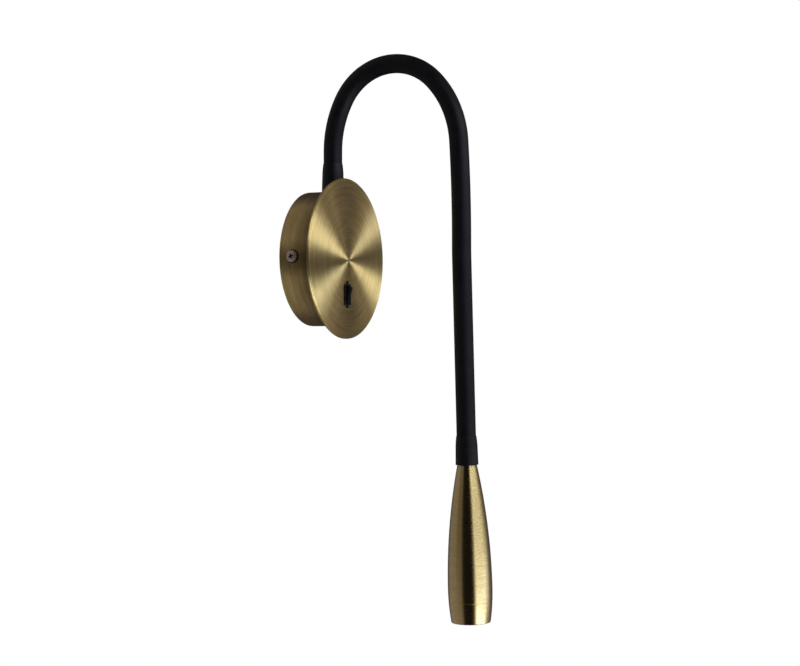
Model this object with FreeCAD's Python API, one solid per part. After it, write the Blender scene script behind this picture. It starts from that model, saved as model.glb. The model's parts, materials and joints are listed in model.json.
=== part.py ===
import FreeCAD
import Part
import math
import os

# Wall sconce: a round brass canopy on the wall, a black bendable hose that leaves it at the top,
# arches out into the room and drops, and a torpedo-shaped brass spot head on the hose's end.
# Lengths are in millimetres. The wall is the plane y = 0, the room is towards -Y, and +Z is up.
# The origin is the middle of the wall bracket's back face. X runs along the wall.

vector = FreeCAD.Vector
axis_x = vector(1, 0, 0)
axis_y = vector(0, 1, 0)
axis_z = vector(0, 0, 1)

# Clearances shared by all the pieces
overrun = 1.0
slide_gap = 0.05
seat_gap = 0.02
fit_gap = 0.1
moving_gap = 0.3

# Canopy drum, the cup that covers the bracket, and the larger disc on its front
drum_radius = 50.5
drum_depth = 27.6
drum_wall = 1.5
drum_window_radius = 12.0
stud_inset = 8.0
disc_radius = 60.0
disc_thickness = 1.6
disc_edge_chamfer = 0.3
stud_radius = 1.45
stud_length = 6.0
stud_angles = (45, 135, 270)
disc_nut_flats = 5.5
disc_nut_height = 2.4

# Wall bracket: a strap with two slots, two bent ears and two tabs
strap_thickness = 2.0
strap_end_gap = 1.0
strap_half_height = 8.0
ear_reach = 15.0
ear_bend_radius = 1.6
slot_spacing = 60.0
slot_length = 12.0
slot_width = 4.5
cable_hole_radius = 5.0
cable_hole_x = -13.0
driver_tab_half_width = 15.0
driver_tab_top = 30.0

# Machine screws with pan heads and cross recesses
screw_radius = 1.95
screw_head_radius = 4.2
screw_head_height = 1.9
screw_clear_radius = 2.3
side_screw_length = 6.6
side_screw_depth = 10.5
recess_length = 3.9
recess_width = 0.9
recess_depth = 1.2
recess_turn = 20
pan_rim_share = 0.55
pan_edge_share = 0.3
earth_head_radius = 3.8
earth_head_height = 2.4

# Rocker switch in the disc, below its middle
switch_edge_room = 23.6
bezel_half_width = 5.0
bezel_half_height = 7.8
bezel_thickness = 0.5
bezel_corner_radius = 0.6
switch_wall = 0.5
switch_body_depth = 12.0
rocker_radius = 6.6
rocker_half_width = 1.9
rocker_pivot_depth = 1.0
rocker_half_travel = 13
rocker_corner_angle = 27
rocker_crease_depth = 0.3
rocker_under = 1.0
rocker_pin_radius = 0.8
rocker_pin_length = 0.6
rocker_edge_radius = 0.25
cavity_depth = 5.0
plunger_radius = 0.9
plunger_length = 2.6
contact_half_length = 4.6
contact_half_width = 1.5
contact_thickness = 0.5
blade_half_width = 2.0
blade_thickness = 0.8
blade_offset = 3.5
blade_reach = 5.7
lug_width = 2.6
lug_height = 2.3

# Constant-current driver
driver_side_room = 22.0
driver_bottom = 9.0
driver_top_room = 16.0
driver_depth = 18.0
driver_wall = 1.2
driver_edge_radius = 1.0
board_thickness = 1.6
part_height = 9.0
choke_radius = 5.0
cap_radius = 4.0

# Terminal block for the supply
block_end_room = 12.0
block_width = 22.0
block_top = -12.0
block_height = 14.0
block_depth = 11.0
pole_pitch = 7.0
pole_count = 3
pole_bore_radius = 1.5
well_radius = 1.7
well_depth = 6.0
pole_groove_width = 1.1
pole_groove_depth = 2.5
block_tab_margin = 1.0

# Leads inside the canopy and the head
mains_wire_radius = 0.9
switch_wire_inset = 1.3
wire_bend_share = 0.45
led_wire_radius = 0.7
led_wire_offset = 0.9
led_wire_plane = -11.0

# Bendable hose: its middle line is a rise, five tangent arcs and a straight drop, all at x = 0
hose_radius = 7.0
hose_bore_radius = 4.5
core_radius = 4.2
core_bore_radius = 2.2
hose_front_room = 10.6
rise_length = 30.5
arc_radii = (80.0, 46.0, 72.0, 1180.0, 400.0)
arc_turns = (28, 108, 40.5, 3.6, -1.7)
drop_length = 147.8
rise_heading = 90
first_pivot = 24.0
base_link_length = 18.0
hoop_link_length = 20.0
neck_link_length = 49.0
links_per_length = 4
dome_radius = 9.0

# Base fitting of the hose: nipple, nut and rubber sleeve
base_sleeve_length = 21.0
base_sleeve_root_wall = 1.5
sleeve_lip_wall = 0.25
sleeve_curve_wall = 0.68
sleeve_curve_place = 3.5
sleeve_shoulder_wall = 0.97
sleeve_shoulder_place = 8.0
collar_length = 9.5
thread_radius = 4.95
nipple_bore_radius = 2.5
nipple_thread_length = 12.5
nipple_nut_flats = 14.0
nipple_nut_height = 4.0
nut_chamfer = 0.6

# Spot head: lengths are measured along its own axis from its top
head_length = 113.1
head_radius = 16.05
head_neck_radius = 7.06
head_rim_radius = 14.13
widest_height = 24.1
shell_wall = 1.6
neck_depth = 13.0
sink_wall = 1.75
sink_length = 24.0
sink_recess = 10.6
ring_height = 15.1
ring_groove = 0.12
ring_chamfer = 0.25
ring_spigot_length = 6.5
spigot_wall = 1.3
ring_lip_width = 1.2
ring_lip_thickness = 1.8
ring_edge_radius = 0.5
head_sleeve_length = 20.8
head_sleeve_root_wall = 1.25
head_collar_length = 10.0
head_thread_length = 12.0
sink_slot_depth = 14.0
sink_slot_width = 1.6
sink_slot_radius = 6.0
sink_slot_count = 12
led_board_margin = 3.5
led_board_thickness = 1.6
emitter_margin = 1.5
emitter_thickness = 0.8
board_screw_inset = 2.0
board_screw_radius = 0.95
board_screw_head_radius = 1.8
board_screw_head_height = 1.2
board_screw_length = 5.0
holder_wall = 0.9
gasket_height = 1.6
lens_flange_height = 2.5
lens_back_margin = 1.1
lens_well_margin = 0.4
lens_well_depth = 3.0
lens_front_sag = 0.6

# Places and sizes that follow from the dimensions above
drum_inner_radius = drum_radius - drum_wall
drum_front_inside = -(drum_depth - drum_wall)
stud_circle_radius = drum_inner_radius - stud_inset
strap_half_length = drum_inner_radius - strap_end_gap
switch_drop = drum_radius - switch_edge_room
hose_offset = drum_depth - hose_front_room
disc_back = -drum_depth
disc_face = disc_back - disc_thickness
bezel_face = disc_face - bezel_thickness
pivot_y = bezel_face + rocker_pivot_depth
window_half_height = rocker_radius + moving_gap
window_half_width = rocker_half_width + moving_gap
housing_half_height = window_half_height + switch_wall
housing_half_width = window_half_width + switch_wall
cavity_floor = pivot_y + cavity_depth
housing_back = disc_face + switch_body_depth
blade_end = housing_back + blade_reach
switch_wire_plane = blade_end - switch_wire_inset
driver_half_width = drum_inner_radius - driver_side_room
driver_back = -strap_thickness
driver_front = driver_back - driver_depth
driver_top = drum_inner_radius - driver_top_room
driver_height = driver_top - driver_bottom
block_left = block_end_room - strap_half_length
block_right = block_left + block_width
block_bottom = block_top - block_height
block_front = -strap_thickness - block_depth
mains_wire_plane = (block_front - strap_thickness) / 2
cup_radius = dome_radius + moving_gap
pivot_reach = dome_radius + overrun
collar_base = drum_radius + seat_gap
hose_start = collar_base + collar_length - drum_radius
nipple_bottom = collar_base - nipple_thread_length
head_widest = head_length - widest_height
ring_joint = head_length - ring_height
sink_bottom = ring_joint - sink_recess
sink_top = sink_bottom - sink_length
sink_bore_radius = head_radius - sink_wall
ring_bore_radius = sink_bore_radius - spigot_wall
ring_lip_radius = ring_bore_radius - ring_lip_width
led_board_radius = ring_bore_radius - led_board_margin
board_screw_circle = led_board_radius - board_screw_inset
emitter_radius = board_screw_circle - board_screw_head_radius - emitter_margin
lens_back_radius = emitter_radius + lens_back_margin
lens_well_radius = emitter_radius + lens_well_margin
ring_gap_end = ring_joint + ring_groove
lip_inside = head_length - ring_lip_thickness
lens_face = lip_inside - gasket_height
flange_back = lens_face - lens_flange_height
holder_radius = ring_bore_radius - fit_gap
emitter_top = sink_bottom + led_board_thickness + emitter_thickness
led_well_top = emitter_top + moving_gap


def save(shape, name):
    shape.exportStep(os.path.join("parts", name + ".step"))


def box(low, high):
    corner = vector(min(low[0], high[0]), min(low[1], high[1]), min(low[2], high[2]))
    return Part.makeBox(abs(high[0] - low[0]), abs(high[1] - low[1]), abs(high[2] - low[2]), corner)


def rod(radius, start, end):
    span = end - start
    return Part.makeCylinder(radius, span.Length, start, span)


def ring(outer_radius, inner_radius, start, end):
    span = (end - start).normalize()
    bore = rod(inner_radius, start - span * overrun, end + span * overrun)
    return rod(outer_radius, start, end).cut(bore)


def turned(edges):
    # Edges in the XZ plane, closed into a face and turned about Z
    face = Part.Face(Part.Wire(edges))
    return face.revolve(vector(0, 0, 0), axis_z, 360)


def outline(points):
    # Straight edges through (radius, height) points, closed
    corners = [vector(radius, 0, height) for radius, height in points]
    return Part.makePolygon(corners + corners[:1]).Edges


def turned_outline(points):
    return turned(outline(points))


def crown(edge_radius, edge_height, rise):
    # Arc from an edge up to the axis, square to the axis there
    arc_radius = (edge_radius ** 2 + rise ** 2) / (2 * rise)
    centre_height = edge_height + rise - arc_radius
    half = math.asin(edge_radius / arc_radius) / 2
    middle = vector(arc_radius * math.sin(half), 0, centre_height + arc_radius * math.cos(half))
    return Part.Arc(vector(edge_radius, 0, edge_height), middle, vector(0, 0, edge_height + rise)).toShape()


def hexagon(flats, height, start, direction):
    # Nut blank with its corners rounded by two cones
    corner_radius = flats / math.sqrt(3)
    corners = []
    for step in range(6):
        angle = math.radians(60 * step)
        corners.append(vector(corner_radius * math.cos(angle), corner_radius * math.sin(angle), 0))
    face = Part.Face(Part.makePolygon(corners + corners[:1]))
    blank = face.extrude(vector(0, 0, height))
    cone_edge = flats / 2
    trim = turned_outline((
        (0, 0),
        (cone_edge, 0),
        (cone_edge + nut_chamfer, nut_chamfer * wire_bend_share),
        (cone_edge + nut_chamfer, height - nut_chamfer * wire_bend_share),
        (cone_edge, height),
        (0, height),
    ))
    blank = blank.common(trim)
    blank.Placement = FreeCAD.Placement(start, FreeCAD.Rotation(axis_z, direction))
    return blank


def cross_recess(depth):
    slot = box((-recess_length / 2, -recess_width / 2, -depth), (recess_length / 2, recess_width / 2, overrun))
    other = slot.copy()
    other.rotate(vector(0, 0, 0), axis_z, 90)
    cross = slot.fuse(other)
    cross.rotate(vector(0, 0, 0), axis_z, recess_turn)
    point = Part.makeCone(0, recess_length / 2, depth + overrun, vector(0, 0, -depth), axis_z)
    return cross.common(point)


def pan_screw(shank_radius, shank_length, head_radius_here, head_height):
    # Head on +Z with its seat at z = 0, shank towards -Z
    rim = head_height * pan_rim_share
    dome = crown(head_radius_here, rim, head_height - rim)
    edges = [
        Part.makeLine(vector(0, 0, head_height), vector(0, 0, -shank_length)),
        Part.makeLine(vector(0, 0, -shank_length), vector(shank_radius, 0, -shank_length)),
        Part.makeLine(vector(shank_radius, 0, -shank_length), vector(shank_radius, 0, 0)),
        Part.makeLine(vector(shank_radius, 0, 0), vector(head_radius_here, 0, 0)),
        Part.makeLine(vector(head_radius_here, 0, 0), vector(head_radius_here, 0, rim)),
        dome,
    ]
    screw = turned(edges)
    rim_edges = [edge for edge in screw.Edges if abs(edge.BoundBox.ZMin - rim) + edge.BoundBox.ZLength < seat_gap]
    screw = screw.makeFillet(head_height * pan_edge_share, rim_edges)
    recess = cross_recess(recess_depth)
    recess.translate(vector(0, 0, head_height))
    return screw.cut(recess)


def aimed(shape, place, direction):
    shape.Placement = FreeCAD.Placement(place, FreeCAD.Rotation(axis_z, direction)).multiply(shape.Placement)
    return shape


# Wires with straight runs and tangent arcs


def wire_solid(points, radius):
    corners = [vector(*point) for point in points]
    edges = []
    start = corners[0]
    for index in range(1, len(corners) - 1):
        corner = corners[index]
        before = (corners[index - 1] - corner)
        after = (corners[index + 1] - corner)
        cut_back = wire_bend_share * min(before.Length, after.Length)
        before.normalize()
        after.normalize()
        half = before.getAngle(after) / 2
        bend_radius = cut_back * math.tan(half)
        inward = (before + after).normalize()
        centre = corner + inward * (cut_back / math.cos(half))
        middle = centre - inward * bend_radius
        arc_start = corner + before * cut_back
        arc_end = corner + after * cut_back
        edges.append(Part.makeLine(start, arc_start))
        edges.append(Part.Arc(arc_start, middle, arc_end).toShape())
        start = arc_end
    edges.append(Part.makeLine(start, corners[-1]))
    path = Part.Wire(edges)
    circle = Part.Wire(Part.makeCircle(radius, corners[0], corners[1] - corners[0]))
    return path.makePipeShell([circle], True, True)


# The hose's middle line


def route_pieces():
    # Each piece is its length, its signed radius (zero for a straight run) and its start and heading
    pieces = []
    y, z, heading = -hose_offset, drum_radius, rise_heading
    pieces.append((rise_length, 0, y, z, heading))
    z = z + rise_length
    for radius, turn in zip(arc_radii, arc_turns):
        signed = math.copysign(radius, turn)
        pieces.append((radius * math.radians(abs(turn)), signed, y, z, heading))
        here = math.radians(heading)
        there = math.radians(heading + turn)
        y = y - signed * math.sin(here) + signed * math.sin(there)
        z = z + signed * math.cos(here) - signed * math.cos(there)
        heading = heading + turn
    pieces.append((drop_length, 0, y, z, heading))
    return pieces


route = route_pieces()
head_place = sum(piece[0] for piece in route)
hose_end = head_place - head_collar_length


def places_along():
    places = [first_pivot]
    for length in (base_link_length, hoop_link_length, neck_link_length):
        for step in range(links_per_length):
            places.append(places[-1] + length)
    return places


pivot_places = places_along()


def along_piece(piece, distance):
    length, signed, y, z, heading = piece
    here = math.radians(heading)
    if signed == 0:
        return vector(0, y + distance * math.cos(here), z + distance * math.sin(here)), here
    there = here + distance / signed
    point = vector(0, y - signed * math.sin(here) + signed * math.sin(there),
                   z + signed * math.cos(here) - signed * math.cos(there))
    return point, there


def route_at(place):
    # Point and direction of the hose's middle line, at a length from the top of the drum
    done = 0
    for piece in route:
        if place <= done + piece[0] or piece is route[-1]:
            point, heading = along_piece(piece, place - done)
            return point, vector(0, math.cos(heading), math.sin(heading))
        done = done + piece[0]


def route_edges(start, end):
    edges = []
    done = 0
    for piece in route:
        low = max(start, done)
        high = min(end, done + piece[0])
        if high > low:
            first = along_piece(piece, low - done)[0]
            last = along_piece(piece, high - done)[0]
            if piece[1] == 0:
                edges.append(Part.makeLine(first, last))
            else:
                middle = along_piece(piece, (low + high) / 2 - done)[0]
                edges.append(Part.Arc(first, middle, last).toShape())
        done = done + piece[0]
    return edges


def tube(start, end, radius):
    point, direction = route_at(start)
    circle = Part.Wire(Part.makeCircle(radius, point, direction))
    return Part.Wire(route_edges(start, end)).makePipeShell([circle], True, True)


def hose_link(index, outer_radius, inner_radius):
    # A link ends in a dome about its outer pivot and starts with a cup about its inner pivot
    has_cup = index > 0
    has_dome = index < len(pivot_places)
    start = pivot_places[index - 1] if has_cup else hose_start
    end = pivot_places[index] + pivot_reach if has_dome else hose_end
    solid = tube(start, end, outer_radius).cut(tube(start, end, inner_radius))
    if has_cup:
        centre = route_at(pivot_places[index - 1])[0]
        solid = solid.cut(Part.makeSphere(cup_radius, centre))
    if has_dome:
        centre = route_at(pivot_places[index])[0]
        beyond = tube(pivot_places[index], end + overrun, outer_radius + overrun)
        solid = solid.cut(beyond.cut(Part.makeSphere(dome_radius, centre)))
    return solid.Solids[0]


# Canopy


def canopy_drum():
    cup = Part.makeCylinder(drum_radius, drum_depth, vector(0, 0, 0), -axis_y)
    hollow = Part.makeCylinder(drum_inner_radius, drum_depth - drum_wall + overrun,
                               vector(0, overrun, 0), -axis_y)
    cup = cup.cut(hollow)
    window = rod(drum_window_radius, vector(0, drum_front_inside + overrun, -switch_drop),
                 vector(0, disc_back - overrun, -switch_drop))
    cup = cup.cut(window)
    nipple_hole = rod(thread_radius + fit_gap, vector(0, -hose_offset, drum_inner_radius - overrun),
                      vector(0, -hose_offset, drum_radius + overrun))
    cup = cup.cut(nipple_hole)
    for side in (-1, 1):
        hole = rod(screw_clear_radius, vector(side * (drum_inner_radius - overrun), -side_screw_depth, 0),
                   vector(side * (drum_radius + overrun), -side_screw_depth, 0))
        cup = cup.cut(hole)
    for stud in stud_points(drum_front_inside + overrun):
        cup = cup.cut(rod(stud_radius + fit_gap, stud, stud - axis_y * (drum_wall + 2 * overrun)))
    return cup


def stud_points(y):
    points = []
    for angle in stud_angles:
        turn = math.radians(angle)
        points.append(vector(stud_circle_radius * math.cos(turn), y, stud_circle_radius * math.sin(turn)))
    return points


def switch_opening(half_width, half_height, front, back):
    low = (-half_width, front, -switch_drop - half_height)
    high = (half_width, back, -switch_drop + half_height)
    return box(low, high)


def front_disc():
    plate = Part.makeCylinder(disc_radius, disc_thickness, vector(0, disc_back, 0), -axis_y)
    rim_edges = [edge for edge in plate.Edges if edge.BoundBox.YLength < disc_edge_chamfer]
    plate = plate.makeChamfer(disc_edge_chamfer, rim_edges)
    opening = switch_opening(housing_half_width + fit_gap, housing_half_height + fit_gap,
                             disc_face - overrun, disc_back + overrun)
    plate = plate.cut(opening)
    for stud in stud_points(disc_back):
        plate = plate.fuse(rod(stud_radius, stud, stud + axis_y * stud_length))
    return plate.removeSplitter()


def disc_nuts():
    nuts = []
    for stud in stud_points(drum_front_inside):
        nut = hexagon(disc_nut_flats, disc_nut_height, stud, axis_y)
        nuts.append(nut.cut(rod(stud_radius + slide_gap, stud - axis_y * overrun,
                                stud + axis_y * (disc_nut_height + overrun))))
    return Part.makeCompound(nuts)


def wall_bracket():
    strap = box((-strap_half_length, -strap_thickness, -strap_half_height),
                (strap_half_length, 0, strap_half_height))
    for side in (-1, 1):
        ear = box((side * strap_half_length, -ear_reach, -strap_half_height),
                  (side * (strap_half_length - strap_thickness), 0, strap_half_height))
        strap = strap.fuse(ear)
    driver_tab = box((-driver_tab_half_width, -strap_thickness, 0), (driver_tab_half_width, 0, driver_tab_top))
    block_tab = box((block_left, -strap_thickness, 0), (block_right, 0, block_bottom - block_tab_margin))
    strap = strap.fuse(driver_tab).fuse(block_tab).removeSplitter()
    bend_edges = []
    for edge in strap.Edges:
        middle = edge.BoundBox.Center
        upright = edge.BoundBox.ZLength > strap_half_height
        at_wall = abs(middle.y) < seat_gap
        at_end = abs(abs(middle.x) - strap_half_length) < seat_gap
        if upright and at_wall and at_end:
            bend_edges.append(edge)
    strap = strap.makeFillet(ear_bend_radius, bend_edges)
    slot_half_run = (slot_length - slot_width) / 2
    for side in (-1, 1):
        centre = vector(side * slot_spacing / 2, 0, 0)
        slot = box((centre.x - slot_half_run, -strap_thickness - overrun, -slot_width / 2),
                   (centre.x + slot_half_run, overrun, slot_width / 2))
        for end in (-1, 1):
            middle = centre + axis_x * (end * slot_half_run)
            slot = slot.fuse(rod(slot_width / 2, middle - axis_y * (strap_thickness + overrun),
                                 middle + axis_y * overrun))
        strap = strap.cut(slot.removeSplitter())
        hole = rod(screw_radius + slide_gap,
                   vector(side * (strap_half_length + overrun), -side_screw_depth, 0),
                   vector(side * (strap_half_length - strap_thickness - overrun), -side_screw_depth, 0))
        strap = strap.cut(hole)
    for place_x, radius in ((cable_hole_x, cable_hole_radius), (-cable_hole_x, screw_radius + slide_gap)):
        strap = strap.cut(rod(radius, vector(place_x, -strap_thickness - overrun, 0), vector(place_x, overrun, 0)))
    return strap


def earth_screw():
    screw = pan_screw(screw_radius, strap_thickness - fit_gap, earth_head_radius, earth_head_height)
    return aimed(screw, vector(-cable_hole_x, -strap_thickness, 0), -axis_y)


def canopy_screws():
    screws = []
    for side in (-1, 1):
        screw = pan_screw(screw_radius, side_screw_length, screw_head_radius, screw_head_height)
        place = vector(side * (drum_radius + seat_gap), -side_screw_depth, 0)
        screws.append(aimed(screw, place, axis_x * side))
    return Part.makeCompound(screws)


# Rocker switch


def switch_housing():
    bezel = switch_opening(bezel_half_width, bezel_half_height, bezel_face, disc_face)
    corner_edges = [edge for edge in bezel.Edges if edge.BoundBox.YLength > bezel_thickness / 2]
    bezel = bezel.makeFillet(bezel_corner_radius, corner_edges)
    for side in (-1, 1):
        edge_z = -switch_drop + side * bezel_half_height
        round_z = edge_z + side * (lug_height - lug_width / 2)
        lug = box((-lug_width / 2, bezel_face, edge_z - side * overrun / 2), (lug_width / 2, disc_face, round_z))
        lug = lug.fuse(rod(lug_width / 2, vector(0, bezel_face, round_z), vector(0, disc_face, round_z)))
        bezel = bezel.fuse(lug.removeSplitter())
    shell = bezel.fuse(switch_opening(housing_half_width, housing_half_height, disc_face, housing_back))
    shell = shell.cut(switch_opening(window_half_width, window_half_height, bezel_face - overrun, cavity_floor))
    pivot = vector(0, pivot_y, -switch_drop)
    half_pin = rocker_half_width + rocker_pin_length + fit_gap
    shell = shell.cut(rod(rocker_pin_radius + slide_gap, pivot - axis_x * half_pin, pivot + axis_x * half_pin))
    for side in (-1, 1):
        middle_z = -switch_drop + side * blade_offset
        slot = box((-blade_half_width - slide_gap, cavity_floor - overrun, middle_z - blade_thickness / 2 - slide_gap),
                   (blade_half_width + slide_gap, housing_back + overrun, middle_z + blade_thickness / 2 + slide_gap))
        shell = shell.cut(slot)
    return shell.removeSplitter()


def rocker_frame(shape):
    # The rocker is drawn upright about its pivot, then tipped so that its lower end is pressed in
    shape.rotate(vector(0, 0, 0), axis_x, rocker_half_travel)
    shape.translate(vector(0, pivot_y, -switch_drop))
    return shape


def switch_rocker():
    corner = math.radians(rocker_corner_angle)
    corner_z = rocker_radius * math.cos(corner)
    corner_y = -rocker_radius * math.sin(corner)
    crease_y = corner_y + rocker_crease_depth
    under_z = math.sqrt(rocker_radius ** 2 - rocker_under ** 2)
    left = -rocker_half_width
    top_corner = vector(left, corner_y, corner_z)
    low_corner = vector(left, corner_y, -corner_z)
    top_under = vector(left, rocker_under, under_z)
    low_under = vector(left, rocker_under, -under_z)
    edges = [
        Part.makeLine(low_corner, vector(left, crease_y, 0)),
        Part.makeLine(vector(left, crease_y, 0), top_corner),
        Part.Arc(top_corner, vector(left, 0, rocker_radius), top_under).toShape(),
        Part.makeLine(top_under, low_under),
        Part.Arc(low_under, vector(left, 0, -rocker_radius), low_corner).toShape(),
    ]
    body = Part.Face(Part.Wire(edges)).extrude(axis_x * (2 * rocker_half_width))
    front_edges = []
    for edge in body.Edges:
        bounds = edge.BoundBox
        if bounds.YMax < crease_y + seat_gap and bounds.ZLength + bounds.XLength > rocker_half_width:
            front_edges.append(edge)
    outer_edges = [edge for edge in front_edges if abs(edge.BoundBox.Center.z) > seat_gap]
    body = body.makeFillet(rocker_edge_radius, outer_edges)
    half_pin = rocker_half_width + rocker_pin_length
    body = body.fuse(rod(rocker_pin_radius, -axis_x * half_pin, axis_x * half_pin)).removeSplitter()
    return rocker_frame(body)


def switch_plunger():
    seat = vector(0, rocker_under, 0)
    stem = rod(plunger_radius, seat, seat + axis_y * (plunger_length - plunger_radius))
    tip = Part.makeSphere(plunger_radius, seat + axis_y * (plunger_length - plunger_radius))
    return rocker_frame(stem.fuse(tip).removeSplitter())


def switch_contact():
    top = pivot_y + rocker_under + plunger_length + moving_gap
    return box((-contact_half_width, top, -switch_drop - contact_half_length),
               (contact_half_width, top + contact_thickness, -switch_drop + contact_half_length))


def switch_terminals():
    top = pivot_y + rocker_under + plunger_length + moving_gap + contact_thickness
    blades = []
    for side in (-1, 1):
        middle_z = -switch_drop + side * blade_offset
        blades.append(box((-blade_half_width, top, middle_z - blade_thickness / 2),
                          (blade_half_width, blade_end, middle_z + blade_thickness / 2)))
    return Part.makeCompound(blades)


# Driver, terminal block and leads


def driver_case():
    low = (-driver_half_width, driver_front, driver_bottom)
    high = (driver_half_width, driver_back, driver_top)
    case = box(low, high)
    front_edges = [edge for edge in case.Edges if edge.BoundBox.YMax < driver_front + driver_wall]
    case = case.makeFillet(driver_edge_radius, front_edges)
    inside_low = (low[0] + driver_wall, driver_front + driver_wall, low[2] + driver_wall)
    inside_high = (high[0] - driver_wall, driver_back + overrun, high[2] - driver_wall)
    return case.cut(box(inside_low, inside_high))


def driver_board():
    margin = driver_wall + fit_gap
    back = driver_back - seat_gap
    board = box((-driver_half_width + margin, back - board_thickness, driver_bottom + margin),
                (driver_half_width - margin, back, driver_top - margin))
    face = back - board_thickness
    middle_z = driver_bottom + driver_height / 2
    half = driver_half_width / 2
    board = board.fuse(rod(choke_radius, vector(0, face, middle_z), vector(0, face - part_height, middle_z)))
    board = board.fuse(rod(cap_radius, vector(half, face, middle_z), vector(half, face - part_height, middle_z)))
    chip = box((-half - choke_radius, face, middle_z - cap_radius), (-half + choke_radius, face - cap_radius,
                                                                     middle_z + cap_radius))
    return board.fuse(chip).removeSplitter()


def pole_x(index):
    return (block_left + block_right) / 2 + pole_pitch * (index - (pole_count - 1) / 2)


def terminal_block():
    block = box((block_left, -strap_thickness, block_bottom), (block_right, block_front, block_top))
    middle_z = (block_bottom + block_top) / 2
    middle_y = (block_front - strap_thickness) / 2
    for index in range(pole_count):
        x = pole_x(index)
        bore = rod(pole_bore_radius, vector(x, middle_y, block_bottom - overrun),
                   vector(x, middle_y, block_top - wire_bend_share * block_height))
        block = block.cut(bore)
        for side in (-1, 1):
            z = middle_z + side * block_height / 4
            well = rod(well_radius, vector(x, block_front - overrun, z), vector(x, block_front + well_depth, z))
            block = block.cut(well)
    for index in range(pole_count - 1):
        x = (pole_x(index) + pole_x(index + 1)) / 2
        half = pole_groove_width / 2
        groove = box((x - half, block_front - overrun, block_bottom - overrun),
                     (x + half, block_front + pole_groove_depth, block_top + overrun))
        block = block.cut(groove)
    return block


def mains_leads():
    run = mains_wire_radius * 3
    driver_x = block_right - block_width / 3
    neutral = (
        (pole_x(1), mains_wire_plane, block_top),
        (pole_x(1), mains_wire_plane, block_top + run),
        (driver_x, mains_wire_plane, block_top + 3 * run),
        (driver_x, mains_wire_plane, driver_bottom),
    )
    blade_x = blade_half_width / 2
    upper_blade = -switch_drop + blade_offset + blade_thickness / 2
    lower_blade = -switch_drop - blade_offset - blade_thickness / 2
    to_switch = (
        (pole_x(2), mains_wire_plane, block_top),
        (pole_x(2), mains_wire_plane, block_top + run),
        (-blade_x, switch_wire_plane, block_top),
        (-blade_x, switch_wire_plane, upper_blade),
    )
    return_x = housing_half_width + run
    to_driver = (
        (blade_x, switch_wire_plane, lower_blade),
        (blade_x, switch_wire_plane, lower_blade - 2 * run),
        (return_x, switch_wire_plane, lower_blade - 2 * run),
        (return_x, switch_wire_plane, driver_bottom),
    )
    return Part.makeCompound([wire_solid(points, mains_wire_radius) for points in (neutral, to_switch, to_driver)])


def led_leads():
    end = route_at(pivot_places[0] + dome_radius * wire_bend_share)[0].z
    rise = nipple_bottom - driver_top
    leads = []
    for side in (-1, 1):
        x = side * led_wire_offset
        leads.append(wire_solid((
            (x, led_wire_plane, driver_top),
            (x, led_wire_plane, driver_top + rise / 3),
            (x, -hose_offset, nipple_bottom - rise / 3),
            (x, -hose_offset, end),
        ), led_wire_radius))
    return Part.makeCompound(leads)


# Base fitting of the hose


def hollow_nipple(collar_radius, collar, thread_length):
    # Collar towards -Z from the seat at z = 0, thread towards +Z
    return turned_outline((
        (nipple_bore_radius, -collar),
        (collar_radius, -collar),
        (collar_radius, 0),
        (thread_radius, 0),
        (thread_radius, thread_length),
        (nipple_bore_radius, thread_length),
    ))


def gooseneck_nipple():
    nipple = hollow_nipple(hose_radius, collar_length, nipple_thread_length)
    return aimed(nipple, vector(0, -hose_offset, collar_base), -axis_z)


def nipple_nut():
    # A flat nut inside a round wall bears on its two outer corners
    seat_half = nipple_nut_flats / math.sqrt(3)
    seat = math.sqrt((drum_inner_radius - seat_gap) ** 2 - seat_half ** 2)
    start = vector(0, -hose_offset, seat)
    nut = hexagon(nipple_nut_flats, nipple_nut_height, start, -axis_z)
    return nut.cut(rod(thread_radius + slide_gap, start + axis_z * overrun,
                       start - axis_z * (nipple_nut_height + overrun)))


def tapered_sleeve(length, root_wall):
    # Lip at z = 0, root at z = length: an arc from the lip to the shoulder, then a straight taper
    bore = hose_radius + slide_gap
    lip = vector(hose_radius + sleeve_lip_wall, 0, 0)
    curve = vector(hose_radius + sleeve_curve_wall, 0, sleeve_curve_place)
    shoulder = vector(hose_radius + sleeve_shoulder_wall, 0, sleeve_shoulder_place)
    root = vector(hose_radius + root_wall, 0, length)
    straight = Part.makePolygon([shoulder, root, vector(bore, 0, length), vector(bore, 0, 0), lip]).Edges
    return turned(straight + [Part.Arc(lip, curve, shoulder).toShape()])


def base_sleeve():
    length = base_sleeve_length + hose_radius
    sleeve = tapered_sleeve(length, base_sleeve_root_wall)
    sleeve = aimed(sleeve, vector(0, -hose_offset, drum_radius + base_sleeve_length), -axis_z)
    drum = Part.makeCylinder(drum_radius + seat_gap, drum_depth + overrun, vector(0, overrun, 0), -axis_y)
    return sleeve.cut(drum).Solids[0]


# Spot head, in its own frame: z runs along the axis from the top of the shell towards the light


def arc_radius_over(length, drop):
    # Radius of an arc that starts along the axis and comes in by the drop over that length
    return (length ** 2 + drop ** 2) / (2 * drop)


upper_arc_radius = arc_radius_over(head_widest, head_radius - head_neck_radius)
lower_arc_radius = arc_radius_over(widest_height, head_radius - head_rim_radius)


def outer_radius_at(place, inset):
    arc_radius = upper_arc_radius if place < head_widest else lower_arc_radius
    reach = math.sqrt((arc_radius - inset) ** 2 - (head_widest - place) ** 2)
    return reach - (arc_radius - head_radius)


def outer_arc(start, end, inset):
    points = [vector(outer_radius_at(place, inset), 0, place) for place in (start, (start + end) / 2, end)]
    return Part.Arc(*points).toShape()


def corner_path(first, corners, last):
    points = [first] + [vector(radius, 0, place) for radius, place in corners] + [last]
    return [Part.makeLine(a, b) for a, b in zip(points, points[1:])]


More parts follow.
